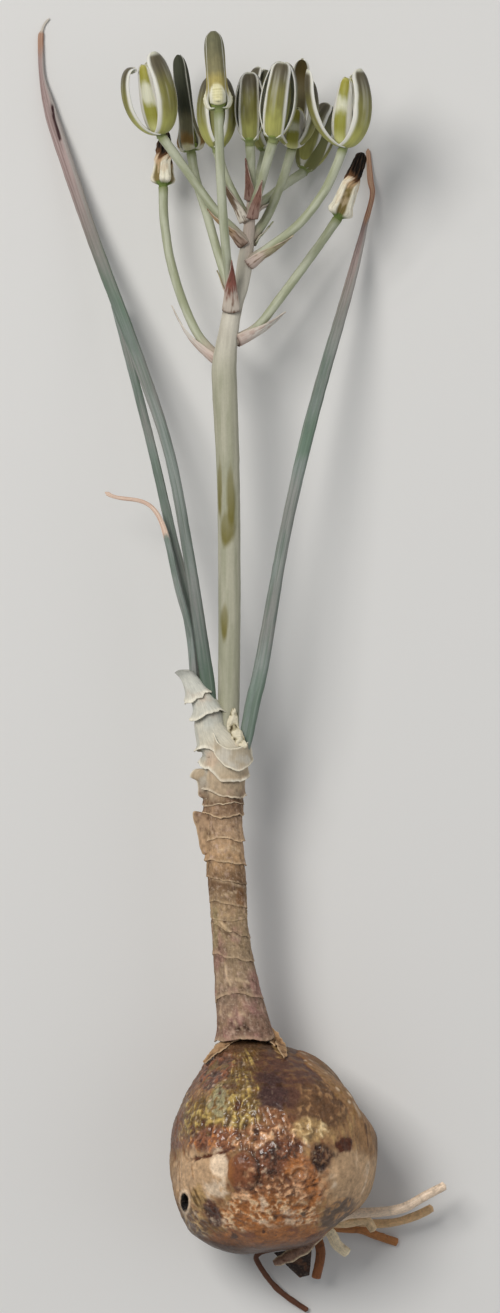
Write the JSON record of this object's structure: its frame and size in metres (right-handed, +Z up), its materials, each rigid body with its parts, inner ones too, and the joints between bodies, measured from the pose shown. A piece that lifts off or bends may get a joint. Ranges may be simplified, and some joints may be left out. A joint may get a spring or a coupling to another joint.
{
  "type": "flowering bulb plant",
  "caption": "Whole lifted bulb plant lying on its side: a round bulb with roots, a sheathed neck, narrow leaves and a stem with a loose head of upright green-striped flowers.",
  "frame": {"origin": "middle of the small flat spot under the bulb, on the surface that the plant lies on", "axes": "+Y along the stem from the bulb to the flowers, +X to the right seen from above, +Z up"},
  "size_m": [0.1049, 0.3326, 0.0516],
  "materials": {
    "bulb": "wet fleshy scales, brown to cream, glistening",
    "root": "moist cream to orange-brown roots",
    "torn_scale": "torn bulb scale, half dry",
    "sheath": "dry papery leaf sheaths, ivory to tan",
    "leaf": "waxy grey-green leaves, finely ribbed",
    "scape": "waxy pale grey-green stem",
    "bract": "thin papery bracts, striped brown",
    "fresh_flower": "white-edged petals with an olive-green band",
    "faded_flower": "drying petals, grey-green to brown"
  },
  "bodies": {
    "root": {"bulb": "bulb", "basal_plate_and_roots": "root", "torn_scale_pale": "torn_scale", "torn_scale_dark": "torn_scale", "neck_sheaths": "sheath", "front_sheath": "sheath", "inner_shred": "sheath", "leaf_long": "leaf", "leaf_behind": "leaf", "leaf_dry_tip": "leaf", "leaf_right": "leaf", "scape_and_stalks": "scape", "flower_withered_left": "faded_flower", "bract_withered_left": "bract", "flower_withered_right": "faded_flower", "bract_withered_right": "bract", "flower_tall_front": "faded_flower", "bract_tall_front": "bract", "flower_tall_left": "faded_flower", "bract_tall_left": "bract", "flower_open_right": "fresh_flower", "bract_open_right": "bract", "flower_open_left": "fresh_flower", "bract_open_left": "bract", "flower_open_lower_right": "fresh_flower", "bract_open_lower_right": "bract", "flower_shut_behind": "fresh_flower", "bract_shut_behind": "bract", "flower_shut_front": "fresh_flower", "bract_shut_front": "bract", "flower_shut_low_right": "fresh_flower", "bract_shut_low_right": "bract", "flower_shut_low": "fresh_flower", "bract_shut_low": "bract", "flower_shut_middle": "fresh_flower", "bract_shut_middle": "bract"}
  },
  "joints": []
}
